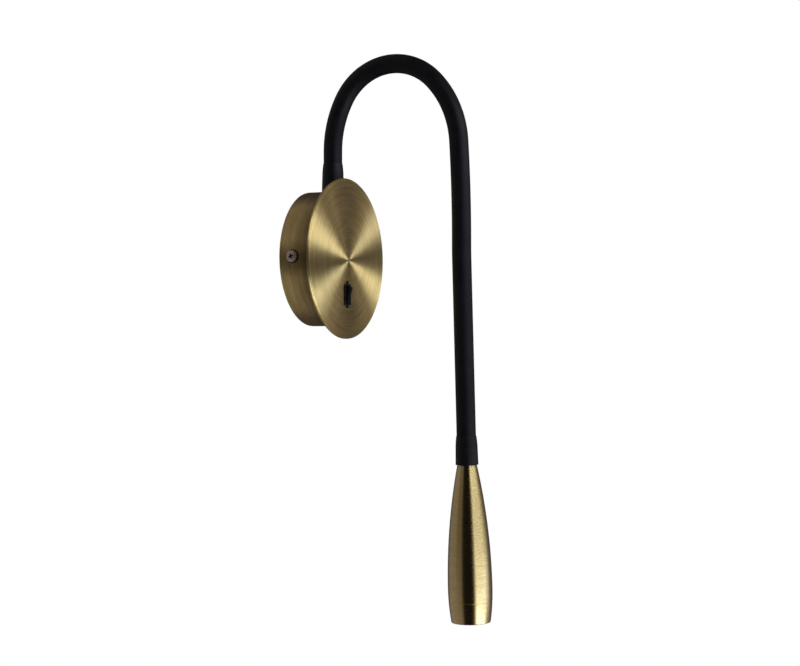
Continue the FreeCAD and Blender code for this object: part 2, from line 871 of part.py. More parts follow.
def head_shell():
    upper = outer_arc(0, head_widest, 0)
    lower_end = ring_joint - ring_chamfer
    lower = outer_arc(head_widest, lower_end, 0)
    inner = outer_arc(neck_depth, sink_top, shell_wall)
    inner_top = inner.Vertexes[0].Point
    inner_bottom = inner.Vertexes[1].Point
    edge_radius = lower.Vertexes[1].Point.x
    edges = [upper, lower]
    edges += corner_path(
        lower.Vertexes[1].Point,
        ((edge_radius - ring_chamfer, ring_joint), (sink_bore_radius, ring_joint), (sink_bore_radius, sink_top)),
        inner_bottom,
    )
    edges.append(inner)
    bore = thread_radius + slide_gap
    edges += corner_path(inner_top, ((bore, neck_depth), (bore, 0)), upper.Vertexes[0].Point)
    return turned(Part.__sortEdges__(edges))


def front_ring():
    start = ring_gap_end + ring_chamfer
    rim_place = head_length - ring_edge_radius
    outer = outer_arc(start, rim_place, 0)
    rim_radius = outer.Vertexes[1].Point.x
    rim_centre = vector(rim_radius - ring_edge_radius, 0, rim_place)
    slant = ring_edge_radius * math.sqrt(0.5)
    rim_end = vector(rim_centre.x, 0, head_length)
    rim = Part.Arc(outer.Vertexes[1].Point, rim_centre + vector(slant, 0, slant), rim_end).toShape()
    spigot_radius = sink_bore_radius - slide_gap
    spigot_top = ring_joint - ring_spigot_length
    edges = [outer, rim]
    edges += corner_path(
        rim_end,
        (
            (ring_lip_radius + ring_chamfer, head_length),
            (ring_lip_radius, head_length - ring_chamfer),
            (ring_lip_radius, lip_inside),
            (ring_bore_radius, lip_inside),
            (ring_bore_radius, spigot_top),
            (spigot_radius, spigot_top),
            (spigot_radius, ring_gap_end),
            (outer.Vertexes[0].Point.x - ring_chamfer, ring_gap_end),
        ),
        outer.Vertexes[0].Point,
    )
    return turned(Part.__sortEdges__(edges))


def heat_sink():
    radius = sink_bore_radius - slide_gap
    sink = ring(radius, core_bore_radius, axis_z * sink_top, axis_z * sink_bottom)
    for index in range(sink_slot_count):
        slot = box((sink_slot_radius, -sink_slot_width / 2, sink_top - overrun),
                   (radius - sink_slot_width, sink_slot_width / 2, sink_top + sink_slot_depth))
        slot.rotate(vector(0, 0, 0), axis_z, 360 * index / sink_slot_count)
        sink = sink.cut(slot)
    for place in board_screw_points():
        sink = sink.cut(rod(board_screw_radius + slide_gap, place + axis_z * (sink_bottom + overrun),
                            place + axis_z * (sink_bottom - board_screw_length)))
    return sink


def board_screw_points():
    return [axis_y * (side * board_screw_circle) for side in (-1, 1)]


def led_board():
    board = rod(led_board_radius, axis_z * sink_bottom, axis_z * (sink_bottom + led_board_thickness))
    for place in board_screw_points():
        board = board.cut(rod(board_screw_radius + fit_gap, place + axis_z * (sink_bottom - overrun),
                              place + axis_z * (sink_bottom + led_board_thickness + overrun)))
    return board


def led_emitter():
    start = sink_bottom + led_board_thickness
    return rod(emitter_radius, axis_z * start, axis_z * (start + emitter_thickness))


def board_screws():
    seat = sink_bottom + led_board_thickness
    screws = []
    for place in board_screw_points():
        head = rod(board_screw_head_radius, place + axis_z * seat,
                   place + axis_z * (seat + board_screw_head_height))
        shank = rod(board_screw_radius, place + axis_z * (seat - board_screw_length), place + axis_z * seat)
        screws.append(head.fuse(shank).removeSplitter())
    return Part.makeCompound(screws)


def lens_holder():
    return ring(holder_radius, holder_radius - holder_wall, axis_z * sink_bottom, axis_z * flange_back)


def lens():
    edge = holder_radius - holder_wall - moving_gap
    face_arc = crown(ring_lip_radius, lens_face, lens_front_sag)
    well_end = led_well_top + lens_well_depth
    edges = [face_arc]
    edges += corner_path(
        vector(0, 0, lens_face + lens_front_sag),
        (
            (0, well_end),
            (lens_well_radius, well_end),
            (lens_well_radius, led_well_top),
            (lens_back_radius, led_well_top),
            (edge, flange_back - lens_flange_height),
            (edge, flange_back),
            (holder_radius, flange_back),
            (holder_radius, lens_face),
        ),
        vector(ring_lip_radius, 0, lens_face),
    )
    return turned(Part.__sortEdges__(edges))


def lens_gasket():
    return ring(holder_radius, ring_lip_radius + fit_gap, axis_z * lens_face, axis_z * lip_inside)


def head_nipple():
    return hollow_nipple(hose_radius, head_collar_length, head_thread_length)


def head_sleeve():
    sleeve = tapered_sleeve(head_sleeve_length, head_sleeve_root_wall)
    sleeve.translate(axis_z * -head_sleeve_length)
    return sleeve


def head_leads():
    leads = []
    for side in (-1, 1):
        place = axis_x * (side * led_wire_offset)
        leads.append(rod(led_wire_radius, place - axis_z * head_sleeve_length, place + axis_z * sink_bottom))
    return Part.makeCompound(leads)


def place_head(shape):
    point, direction = route_at(head_place)
    across = axis_x
    third = direction.cross(across)
    turn = FreeCAD.Rotation(across, third, direction, "ZXY")
    shape.Placement = FreeCAD.Placement(point, turn).multiply(shape.Placement)
    return shape


# Write every piece to its own file

os.makedirs("parts", exist_ok=True)

root_pieces = (canopy_drum, front_disc, disc_nuts, wall_bracket, earth_screw, canopy_screws,
               switch_housing, switch_contact, switch_terminals, switch_rocker, switch_plunger,
               driver_case, driver_board, terminal_block, mains_leads, led_leads,
               gooseneck_nipple, nipple_nut, base_sleeve)
head_pieces = (head_sleeve, head_nipple, head_shell, front_ring, heat_sink, led_board, led_emitter,
               board_screws, lens_holder, lens, lens_gasket, head_leads)

for piece in root_pieces:
    save(piece(), piece.__name__)
for piece in head_pieces:
    save(place_head(piece()), piece.__name__)
for link in range(len(pivot_places) + 1):
    save(hose_link(link, hose_radius, hose_bore_radius), "hose_skin_%02d" % link)
    save(hose_link(link, core_radius, core_bore_radius), "hose_core_%02d" % link)
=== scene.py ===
import bpy
import json
import math
from mathutils import Euler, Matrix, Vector


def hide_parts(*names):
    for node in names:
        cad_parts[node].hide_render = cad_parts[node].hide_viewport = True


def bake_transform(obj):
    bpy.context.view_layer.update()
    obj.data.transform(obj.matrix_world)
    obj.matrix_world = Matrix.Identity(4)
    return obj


# The looks of a wall light: antique brass canopy and spot head, joined by a black bendable hose.
# Lengths are in metres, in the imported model's frame: the wall is y = 0, the room is towards -Y.

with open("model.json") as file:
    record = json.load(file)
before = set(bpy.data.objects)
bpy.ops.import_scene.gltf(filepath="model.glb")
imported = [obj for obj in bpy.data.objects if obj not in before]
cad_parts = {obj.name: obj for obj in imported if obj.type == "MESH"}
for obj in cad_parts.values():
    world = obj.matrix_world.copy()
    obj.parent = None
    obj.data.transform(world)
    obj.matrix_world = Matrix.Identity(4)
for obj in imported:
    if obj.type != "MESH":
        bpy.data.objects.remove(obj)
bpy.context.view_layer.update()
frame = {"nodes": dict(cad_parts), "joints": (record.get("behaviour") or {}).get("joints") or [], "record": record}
parts = frame["nodes"]

# Hose sizes and middle line, as in the CAD source
drum_radius = 0.0505
hose_offset = 0.017
hose_radius = 0.007
hose_bore_radius = 0.0045
core_radius = 0.0042
core_bore_radius = 0.0022
rise_length = 0.0305
arc_radii = (0.080, 0.046, 0.072, 1.180, 0.400)
arc_turns = (28, 108, 40.5, 3.6, -1.7)
drop_length = 0.1478
rise_heading = 90
first_pivot = 0.024
link_lengths = (0.018, 0.020, 0.049)
links_per_length = 4
hose_start = 0.00952
head_collar_length = 0.010

# Sizes of the canopy and the head that the materials follow, as in the CAD source
disc_radius = 0.06
drum_depth = 0.0276
screw_depth = 0.0105
recess_turn = 20
recess_half_length = 0.00195
recess_half_width = 0.0006
head_length = 0.1131
ring_height = 0.0151

# Mesh of the hose
ring_spacing = 0.0012
skin_sides = 56
core_sides = 28

# Parts of a noise's values that a change of tone runs over
whole_noise = (0.3, 0.7)
middle_noise = (0.35, 0.65)

# Brushed brass: pitch and detail of its grooves, patina and the painted highlight along edges
fine_groove = (0.00022, 1.0)
broad_groove = (0.002, 3.0)
groove_curl = 1.4
fine_share = 0.35
groove_share = 0.75
groove_depth = 0.000012
brush_middle = Vector((0.0025, 0, -0.0012))
patina_scale = 55.0
patina_contrast = (0.36, 0.64)
roughness_swing = 0.035
lacquer_roughness = 0.16
highlight_edge_half = 0.00045
highlight_edge_full = 0.6
highlight_edge_roughness = 0.62

# Painted shade: on the drum beside the disc, in a ring round the screw heads, and a small dark spot at the disc's
# middle
disc_shadow = (0.004, 0.017)
disc_shadow_level = 0.42
screw_shadow = (0.0045, 0.0055)
screw_shadow_level = 0.2
screw_shadow_shift = 0.0007
# Painted shade at the disc's middle
middle_shade = (0.0004, 0.002)
middle_shade_level = 0.5

# Places on the driver's board
board_face = -0.0038
capacitor_edge = 0.009
chip_edge = -0.008
trace_scale = 260.0

# Pitch of the core's wire, scale of the lines round and along the rubber, and fine grain on a metal's mottle
wire_pitch = 0.0012
extrusion_lines = (2400.0, 60.0, 1.0)
fine_grain = 9


def colour(red, green, blue):
    return (red, green, blue, 1.0)


brass = (colour(0.72, 0.56, 0.25), colour(0.44, 0.332, 0.14))
head_brass = (colour(0.48, 0.37, 0.165), colour(0.365, 0.277, 0.118))
bronze = (colour(0.54, 0.41, 0.17), colour(0.34, 0.25, 0.097))
# Brighter brass of the painted highlight along the disc's rim and the head's ring seam
highlight_brass = colour(0.86, 0.66, 0.22)
rubber = (colour(0.0022, 0.0019, 0.0031), colour(0.0036, 0.0032, 0.0046))
rubber_tint = colour(0.95, 0.91, 1.0)
screw_nickel = (colour(0.46, 0.385, 0.36), colour(0.62, 0.53, 0.5))
# Near black of the painted shade in the screws' cross recesses
recess_shade = colour(0.015, 0.012, 0.011)

# Camera and stage
photo_width_px = 800
focal_length_px = 1517.14
sensor_width_mm = 36.0
near_clip = 0.01
camera_place = (-1.0054, -0.5583, -0.0556)
camera_heading = -64.234
floor_height = -1.2
floor_radius = 3.0
floor_sides = 96
floor_lift = 0.35
room_level = 0.6
light_aim = Vector((0, -0.06, -0.05))

# Shell of light and dark flags that reflections see. Angles are in degrees to the right of the camera,
# as seen from the light, or above and below it, and the level 1 is white.
tent_levels = ((-180, 0.02), (-158, 0.1), (-125, 0.37), (-58, 0.36), (-46, 0.26), (-35, 0.016), (13, 0.016),
               (21, 0.12), (29, 2.8), (35, 4.7), (80, 4.5), (97, 2.3), (112, 0.4), (132, 0.12), (158, 0.09),
               (179, 0.02))
tent_peak = 5.0
tent_radius = 1.12
tent_sides = 96
tent_rows = 48

# Dark slit at the light's own height, left of the camera as far as its end
slit_level = 0.1
slit_rise = (11.5, 16.0)
slit_end = (-66.0, -82.0)

# Glow on the dim flags above and below the slit
glow_start = (20.0, 29.0)
glow_end = (29.0, 38.0)
glow_share = 0.55
glow_limit = 0.5

# On the right the slit is a wedge, with its angles taken round the direction that the disc mirrors to the
# camera. At steeper angles of it the bright flags stop at a dark ceiling and ground.
mirror_angle = 128.0
wedge_edge = (15.5, 19.0)
ceiling_level = 0.03
ceiling_edge = (35.5, 51.0)
bright_start = (0.5, 2.0)

# Brighter patch low on the bright flags
patch_start = (-38.0, -34.0)
patch_end = (-28.0, -24.0)
patch_share = 0.45
patch_bright = (2.5, 5.0)

# Warm dim flags, cool bright ones and a cooler patch
tint_levels = (0.1, 3.0)
patch_tint_levels = (5.0, 7.0)
dim_tint = colour(1.0, 0.91, 0.86)
bright_tint = colour(0.92, 0.98, 1.06)
patch_tint = colour(0.88, 0.98, 1.25)

X = Vector((1, 0, 0))
Y = Vector((0, 1, 0))
Z = Vector((0, 0, 1))


# Middle line of the hose


def route_pieces():
    """The straight rise, the arcs and the straight drop: length, signed radius, first point and heading."""
    pieces = []
    point = Vector((0, -hose_offset, drum_radius))
    heading = rise_heading
    pieces.append((rise_length, 0, point, heading))
    point = point + Z * rise_length
    for radius, turn in zip(arc_radii, arc_turns):
        signed = math.copysign(radius, turn)
        piece = (radius * math.radians(abs(turn)), signed, point, heading)
        pieces.append(piece)
        point = along_piece(piece, piece[0])[0]
        heading = heading + turn
    pieces.append((drop_length, 0, point, heading))
    return pieces


def along_piece(piece, distance):
    """Point and heading at a distance along one piece of the route."""
    length, signed, point, heading = piece
    here = math.radians(heading)
    if signed == 0:
        return point + Vector((0, math.cos(here), math.sin(here))) * distance, here
    there = here + distance / signed
    shift = Vector((0, math.sin(there) - math.sin(here), math.cos(here) - math.cos(there)))
    return point + shift * signed, there


route = route_pieces()
head_place = sum(piece[0] for piece in route)


def route_at(place):
    """Point, direction and in-plane normal of the middle line, at a length from the drum's top."""
    done = 0
    for piece in route:
        if place <= done + piece[0] or piece is route[-1]:
            point, heading = along_piece(piece, place - done)
            direction = Vector((0, math.cos(heading), math.sin(heading)))
            return point, direction, Vector((0, -math.sin(heading), math.cos(heading)))
        done = done + piece[0]


def pivot_places():
    """Lengths along the route at which the arm's hinges sit."""
    places = [first_pivot]
    for length in link_lengths:
        for step in range(links_per_length):
            places.append(places[-1] + length)
    return places


# Materials: a small kit for building node trees


class Nodes:
    """A node tree, with short calls for the nodes that the materials are made of."""

    def __init__(self, tree):
        self.tree = tree

    def feed(self, socket, value):
        if isinstance(value, bpy.types.NodeSocket):
            self.tree.links.new(value, socket)
        elif value is not None:
            socket.default_value = value

    def node(self, kind, *inputs, **settings):
        made = self.tree.nodes.new("ShaderNode" + kind)
        for name, value in settings.items():
            setattr(made, name, value)
        for socket, value in zip(made.inputs, inputs):
            self.feed(socket, value)
        return made

    def math(self, operation, *values):
        return self.node("Math", *values, operation=operation).outputs[0]

    def vector(self, operation, *values):
        made = self.node("VectorMath", *values, operation=operation)
        return made.outputs["Value"] if operation in ("LENGTH", "DOT_PRODUCT") else made.outputs[0]

    def scaled(self, value, factor):
        made = self.node("VectorMath", value, operation="SCALE")
        self.feed(made.inputs["Scale"], factor)
        return made.outputs[0]

    def place(self):
        return self.node("TexCoord").outputs["Object"]

    def split(self, vector):
        return self.node("SeparateXYZ", vector).outputs

    def noise(self, scale, detail=2.0, roughness=0.5, vector=None):
        """Noise over the object's own coordinates, or over the vector that is given."""
        made = self.node("TexNoise")
        self.feed(made.inputs["Vector"], self.place() if vector is None else vector)
        made.inputs["Scale"].default_value = scale
        made.inputs["Detail"].default_value = detail
        made.inputs["Roughness"].default_value = roughness
        return made.outputs[0]

    def remap(self, value, span, low, high):
        """The value's share of a span, as a clamped change from low to high."""
        return self.node("MapRange", value, *span, low, high, clamp=True).outputs[0]

    def rising(self, value, span):
        """Smooth step from 0 to 1 over a span."""
        return self.node("MapRange", value, *span, interpolation_type="SMOOTHSTEP").outputs[0]

    def between(self, first, second, share):
        """From the first value to the second by a share."""
        change = self.math("SUBTRACT", second, first)
        return self.math("ADD", first, self.math("MULTIPLY", change, share))

    def mix(self, factor, first, second):
        made = self.node("Mix", data_type="RGBA")
        self.feed(made.inputs[0], factor)
        self.feed(made.inputs[6], first)
        self.feed(made.inputs[7], second)
        return made.outputs[2]

    def tones(self, value, span, first, second):
        """Colour that goes from the first to the second over a span of the value."""
        return self.mix(self.remap(value, span, 0.0, 1.0), first, second)

    def sees_background(self):
        """1 for the rays that show the background: camera, glossy and transmission rays."""
        path = self.node("LightPath").outputs
        either = self.math("MAXIMUM", path["Is Camera Ray"], path["Is Glossy Ray"])
        return self.math("MAXIMUM", either, path["Is Transmission Ray"])


looks = {}


class Surface(Nodes):
    """A material on one principled shader, kept in looks under its name."""

    def __init__(self, name, **values):
        self.made = bpy.data.materials.new(name)
        self.made.use_nodes = True
        super().__init__(self.made.node_tree)
        self.shader = self.tree.nodes["Principled BSDF"]
        for socket, value in values.items():
            self.shader.inputs[socket.replace("_", " ")].default_value = value
        looks[name] = self.made

    def set(self, socket, value):
        self.feed(self.shader.inputs[socket], value)

    def bump(self, height, depth, strength):
        made = self.node("Bump")
        made.inputs["Strength"].default_value = strength
        made.inputs["Distance"].default_value = depth
        self.feed(made.inputs["Height"], height)
        self.set("Normal", made.outputs[0])


def turned_frame(surface, point, axis):
    """Offset from a point, distance from an axis through it and length along it, and the vector across."""
    offset = surface.vector("SUBTRACT", surface.place(), tuple(point))
    along = surface.vector("DOT_PRODUCT", offset, tuple(axis))
    across = surface.vector("SUBTRACT", offset, surface.scaled(tuple(axis), along))
    return offset, across, surface.vector("LENGTH", across), along


def brush_across(surface, offset, axis):
    """Spreads reflections across grooves that run round the axis."""
    around = surface.vector("CROSS_PRODUCT", tuple(axis), offset)
    turned = surface.node("VectorTransform", around, vector_type="VECTOR",
                          convert_from="OBJECT", convert_to="WORLD").outputs[0]
    normal = surface.node("NewGeometry").outputs["Normal"]
    surface.set("Tangent", surface.vector("CROSS_PRODUCT", turned, normal))


def brushed_brass(name, point, axis, tones, roughness, anisotropy, coat, flat=False, edge=None, shade=None):
    """Lacquered antique brass, grooved round an axis on a flat face or a turned side, with a painted highlight
    along an edge and painted shade where given.
    """
    light, dark = tones
    surface = Surface(name, Metallic=1.0, Anisotropic=anisotropy, Coat_Weight=coat,
                      Coat_Roughness=lacquer_roughness)
    offset, across, distance, along = turned_frame(surface, point, axis)
    groove_place = distance if flat else along
    round_place = surface.scaled(surface.vector("NORMALIZE", across), groove_curl)
    grooves = []
    for pitch, detail in (fine_groove, broad_groove):
        step = surface.math("DIVIDE", groove_place, pitch)
        streak = surface.vector("ADD", round_place, surface.scaled(tuple(axis), step))
        grooves.append(surface.noise(scale=1.0, detail=detail, roughness=0.65, vector=streak))
    fine, broad = grooves
    patina = surface.noise(scale=patina_scale, detail=4.0, roughness=0.6)
    groove = surface.between(broad, fine, fine_share)
    tone = surface.between(patina, groove, groove_share)
    base = surface.tones(tone, patina_contrast, dark, light)
    rough = surface.remap(tone, whole_noise, roughness + roughness_swing, roughness - roughness_swing)
    # Painted highlight: brighter brass, with a rougher finish, in a narrow band along the edge
    if edge is not None:
        from_edge = surface.math("ABSOLUTE", surface.math("SUBTRACT", groove_place, edge))
        edge_highlight = surface.remap(from_edge, (highlight_edge_half, highlight_edge_half * highlight_edge_full), 0.0, 1.0)
        base = surface.mix(edge_highlight, base, highlight_brass)
        rough = surface.math("MAXIMUM", rough, surface.math("MULTIPLY", edge_highlight, highlight_edge_roughness))
    # Painted shade: the base colour is darkened towards black where the shade function is below 1
    if shade is not None:
        base = surface.mix(shade(surface, distance, along), colour(0, 0, 0), base)
    surface.set("Base Color", base)
    surface.set("Roughness", rough)
    surface.bump(groove, depth=groove_depth, strength=0.6)
    brush_across(surface, offset, axis)


def drum_shade(surface, distance, along):
    """Painted shade on the drum: darker beside the disc for the disc's shadow and dark reflection, and a painted
    shadow round the screw heads.
    """
    # Painted shade beside the disc, standing in for the disc's shadow and dark reflection on the drum
    behind_disc = surface.math("ADD", along, drum_depth)
    near_disc = surface.remap(behind_disc, disc_shadow, disc_shadow_level, 1.0)
    # Painted shadow in a ring round each screw head
    place = surface.split(surface.place())
    across = surface.math("ADD", place[1], screw_depth + screw_shadow_shift)
    squares = surface.math("ADD", surface.math("POWER", across, 2.0), surface.math("POWER", place[2], 2.0))
    ring = surface.math("SQRT", squares)
    return surface.math("MULTIPLY", near_disc, surface.remap(ring, screw_shadow, screw_shadow_level, 1.0))


def disc_shade(surface, distance, along):
    """Painted shade: a small dark spot at the disc's middle, where the brushed reflections meet."""
    return surface.remap(distance, middle_shade, middle_shade_level, 1.0)


def plain_metal(name, base, shade, roughness, grain_scale):
    """Plated or cast metal with a soft mottle."""
    surface = Surface(name, Metallic=1.0)
    mottle = surface.noise(scale=grain_scale, detail=3.0, roughness=0.6)
    surface.set("Base Color", surface.tones(mottle, middle_noise, shade, base))
    surface.set("Roughness", surface.remap(mottle, whole_noise, roughness + 0.07, roughness - 0.05))
    surface.bump(surface.noise(scale=grain_scale * fine_grain), depth=0.00001, strength=0.5)


def recessed_screws(name):
    """Nickel screws with painted shade in their cross recesses."""
    surface = Surface(name, Metallic=1.0)
    place = surface.split(surface.place())
    turn = surface.math("MULTIPLY", surface.math("SIGN", place[0]), math.radians(recess_turn))
    cosine, sine = surface.math("COSINE", turn), surface.math("SINE", turn)
    across, up = surface.math("ADD", place[1], screw_depth), place[2]
    first = surface.math("MULTIPLY_ADD", up, sine, surface.math("MULTIPLY", across, cosine))
    second = surface.math("SUBTRACT", surface.math("MULTIPLY", up, cosine),
                          surface.math("MULTIPLY", across, sine))
    first, second = surface.math("ABSOLUTE", first), surface.math("ABSOLUTE", second)
    narrow = surface.math("LESS_THAN", surface.math("MINIMUM", first, second), recess_half_width)
    short = surface.math("LESS_THAN", surface.math("MAXIMUM", first, second), recess_half_length)
    mottle = surface.noise(scale=500.0, detail=3.0, roughness=0.6)
    nickel = surface.tones(mottle, middle_noise, *screw_nickel)
    # The cross recess is painted near black as painted shade
    surface.set("Base Color", surface.mix(surface.math("MULTIPLY", narrow, short), nickel, recess_shade))
    surface.set("Roughness", surface.remap(mottle, whole_noise, 0.62, 0.54))
    surface.bump(surface.noise(scale=4500.0), depth=0.00001, strength=0.5)


def moulded(name, base, shade, roughness, specular=0.5):
    """Moulded plastic with a spark-eroded grain and slight tone changes."""
    surface = Surface(name, Specular_IOR_Level=specular)
    cloud = surface.noise(scale=120.0, detail=3.0)
    grains = surface.noise(scale=2600.0)
    surface.set("Base Color", surface.tones(cloud, middle_noise, shade, base))
    surface.set("Roughness", surface.remap(grains, whole_noise, roughness - 0.05, roughness + 0.05))
    surface.bump(grains, depth=0.00002, strength=0.6)


def hose_rubber(name):
    """Matt black rubber skin: fine grain, faint extrusion lines along it and a trace of dust."""
    surface = Surface(name, Specular_IOR_Level=0.14, Specular_Tint=rubber_tint)
    route_map = surface.node("UVMap", uv_map="route").outputs[0]
    grain = surface.noise(scale=3200.0)
    stretched = surface.vector("MULTIPLY", route_map, extrusion_lines)
    lines = surface.noise(scale=1.0, detail=1.0, vector=stretched)
    dust = surface.noise(scale=90.0, detail=4.0, roughness=0.65)
    surface.set("Base Color", surface.tones(dust, (0.4, 0.75), *rubber))
    surface.set("Roughness", surface.remap(dust, whole_noise, 0.46, 0.54))
    height = surface.math("ADD", surface.math("MULTIPLY", grain, 0.8), surface.math("MULTIPLY", lines, 0.3))
    surface.bump(height, depth=0.00003, strength=0.5)


def sleeve_rubber(name):
    """Moulded rubber sleeves, a little smoother than the hose."""
    surface = Surface(name, Specular_IOR_Level=0.17, Specular_Tint=rubber_tint)
    cloud = surface.noise(scale=150.0, detail=3.0)
    surface.set("Base Color", surface.tones(cloud, (0.4, 0.7), *rubber))
    surface.set("Roughness", surface.remap(cloud, whole_noise, 0.42, 0.5))
    surface.bump(surface.noise(scale=2600.0), depth=0.00002, strength=0.5)


def wound_steel(name):
    """Close-wound flat spring wire of the hose's core."""
    surface = Surface(name, Metallic=1.0)
    girth, length = surface.split(surface.node("UVMap", uv_map="route").outputs[0])[:2]
    turns_along = surface.math("DIVIDE", length, wire_pitch)
    turns_round = surface.math("DIVIDE", girth, 2 * math.pi * core_radius)
    helix = surface.math("ADD", turns_along, turns_round)
    wire = surface.math("SINE", surface.math("MULTIPLY", helix, 2 * math.pi))
    surface.set("Base Color", surface.tones(wire, (-1.0, 0.2), colour(0.12, 0.12, 0.12),
                                            colour(0.5, 0.5, 0.5)))
    surface.set("Roughness", surface.remap(wire, (-1.0, 1.0), 0.5, 0.3))
    surface.bump(wire, depth=0.0002, strength=0.8)


def wire_insulation(name, border, first, second):
    """Glossy wire insulation, one colour each side of a border across the light."""
    surface = Surface(name, Specular_IOR_Level=0.5)
    side = surface.math("GREATER_THAN", surface.split(surface.place())[0], border)
    cloud = surface.noise(scale=400.0)
    chalking = surface.remap(cloud, whole_noise, 0.0, 0.2)
    surface.set("Base Color", surface.mix(chalking, surface.mix(side, first, second), colour(0.9, 0.9, 0.9)))
    surface.set("Roughness", surface.remap(cloud, whole_noise, 0.28, 0.36))


def circuit_board(name):
    """Green board with traces; the parts on it are dark, blue or ferrite by their place."""
    surface = Surface(name, Specular_IOR_Level=0.5)
    place = surface.split(surface.place())
    is_part = surface.math("LESS_THAN", place[1], board_face)
    traces = surface.node("TexBrick", surface.scaled(surface.place(), trace_scale))
    copper = surface.math("GREATER_THAN", traces.outputs["Fac"], 0.5)
    green = surface.mix(copper, colour(0.02, 0.16, 0.07), colour(0.05, 0.3, 0.12))
    is_capacitor = surface.math("GREATER_THAN", place[0], capacitor_edge)
    is_chip = surface.math("LESS_THAN", place[0], chip_edge)
    part = surface.mix(is_capacitor, colour(0.09, 0.05, 0.03), colour(0.03, 0.07, 0.3))
    part = surface.mix(is_chip, part, colour(0.015, 0.015, 0.017))
    surface.set("Base Color", surface.mix(is_part, green, part))
    surface.set("Roughness", surface.remap(surface.noise(scale=900.0), whole_noise, 0.3, 0.45))
    surface.bump(copper, depth=0.00004, strength=0.5)


def clear_lens(name):
    """Clear moulded acrylic lens."""
    surface = Surface(name, IOR=1.49, Transmission_Weight=1.0)
    ripple = surface.noise(scale=700.0, detail=1.0)
    surface.set("Base Color", surface.tones(ripple, whole_noise, colour(0.93, 0.95, 0.96),
                                            colour(0.97, 0.98, 0.98)))
    surface.set("Roughness", surface.remap(ripple, whole_noise, 0.02, 0.05))


head_point, head_axis = route_at(head_place)[:2]
brushed_brass("brass_drum", Vector(), Y, bronze, roughness=0.4, anisotropy=0.85, coat=0.25, shade=drum_shade)
brushed_brass("brass_disc", brush_middle, Y, brass, roughness=0.37, anisotropy=1.0, coat=0.25, flat=True,
              edge=disc_radius, shade=disc_shade)
for slot in ("brass_head", "brass_ring"):
    brushed_brass(slot, head_point, head_axis, head_brass, roughness=0.28, anisotropy=1.0, coat=0.6,
                  edge=head_length - ring_height)
hose_rubber("hose_rubber")
sleeve_rubber("sleeve_rubber")
wound_steel("core_steel")
recessed_screws("screw_steel")
plain_metal("zinc_steel", colour(0.62, 0.64, 0.68), colour(0.48, 0.5, 0.55), 0.36, 260.0)
plain_metal("fitting_steel", colour(0.56, 0.56, 0.57), colour(0.42, 0.42, 0.43), 0.3, 400.0)
plain_metal("contact_brass", colour(0.72, 0.55, 0.26), colour(0.58, 0.42, 0.18), 0.28, 600.0)
plain_metal("sink_aluminium", colour(0.74, 0.75, 0.77), colour(0.6, 0.61, 0.63), 0.3, 300.0)
moulded("switch_black", colour(0.0042, 0.0036, 0.0046), colour(0.003, 0.0026, 0.0034), 0.42, specular=0.12)
moulded("rocker_black", colour(0.0044, 0.0038, 0.0054), colour(0.003, 0.0026, 0.004), 0.34, specular=0.06)
moulded("nylon_white", colour(0.78, 0.77, 0.73), colour(0.72, 0.71, 0.67), 0.45)
moulded("driver_white", colour(0.78, 0.78, 0.75), colour(0.72, 0.72, 0.69), 0.48)
moulded("block_white", colour(0.76, 0.75, 0.7), colour(0.7, 0.69, 0.64), 0.4)
moulded("led_board_white", colour(0.8, 0.8, 0.79), colour(0.74, 0.74, 0.72), 0.4)
moulded("led_phosphor", colour(0.8, 0.62, 0.12), colour(0.72, 0.52, 0.08), 0.35)
moulded("holder_black", colour(0.02, 0.02, 0.02), colour(0.014, 0.014, 0.015), 0.45)
moulded("gasket_rubber", colour(0.02, 0.02, 0.02), colour(0.014, 0.014, 0.014), 0.6)
wire_insulation("mains_insulation", -0.0195, colour(0.03, 0.12, 0.45), colour(0.16, 0.07, 0.03))
wire_insulation("led_insulation", 0.0, colour(0.02, 0.02, 0.02), colour(0.5, 0.03, 0.02))
circuit_board("board_green")
clear_lens("lens_clear")

# Every CAD node takes its look by its material slot
for row in frame["record"]["subparts"]:
    data = parts[row["node"]].data
    data.materials.clear()
    data.materials.append(looks[row["material_slot"]])


# The hose: smooth tubes along the middle line, each from the middle of one link to the middle of the next


def tube_piece(name, start, end, outer, inner, sides, look):
    """Closed tube along the middle line, with a map of its girth and length."""
    count = max(2, math.ceil((end - start) / ring_spacing))
    places = [start + (end - start) * step / count for step in range(count + 1)]
    rings = len(places)
    vertices = []
    for radius in (outer, inner):
        for place in places:
            point, direction, normal = route_at(place)
            for side in range(sides):
                angle = 2 * math.pi * side / sides
                vertices.append(point + X * (radius * math.cos(angle)) + normal * (radius * math.sin(angle)))
    faces = []
    bore_start = rings * sides
    for ring in range(rings - 1):
        for side in range(sides):
            following = (side + 1) % sides
            low = ring * sides
            high = low + sides
            faces.append((low + side, high + side, high + following, low + following))
            low, high = low + bore_start, high + bore_start
            faces.append((low + side, low + following, high + following, high + side))
    wall_faces = len(faces)
    for ring, outward in ((0, False), (rings - 1, True)):
        for side in range(sides):
            following = (side + 1) % sides
            rim = ring * sides
            bore = bore_start + rim
            face = (rim + side, rim + following, bore + following, bore + side)
            faces.append(face[::-1] if outward else face)
    mesh = bpy.data.meshes.new(name)
    mesh.from_pydata(vertices, [], faces)
    route_map = mesh.uv_layers.new(name="route")
    girth = 2 * math.pi * outer
    for polygon in mesh.polygons:
        corners = [mesh.loops[index].vertex_index for index in polygon.loop_indices]
        sides_here = [corner % sides for corner in corners]
        wraps = max(sides_here) - min(sides_here) > 1
        for index, corner in zip(polygon.loop_indices, corners):
            side = corner % sides
            side = sides if wraps and side == 0 else side
            place = places[corner // sides % rings]
            route_map.data[index].uv = (girth * side / sides, place)
        polygon.use_smooth = polygon.index < wall_faces
    for edge in mesh.edges:
        rows = {corner // sides % rings for corner in edge.vertices}
        edge.use_edge_sharp = rows in ({0}, {rings - 1})
    mesh.materials.append(look)
    piece = bpy.data.objects.new(name, mesh)
    bpy.context.scene.collection.objects.link(piece)
    return piece


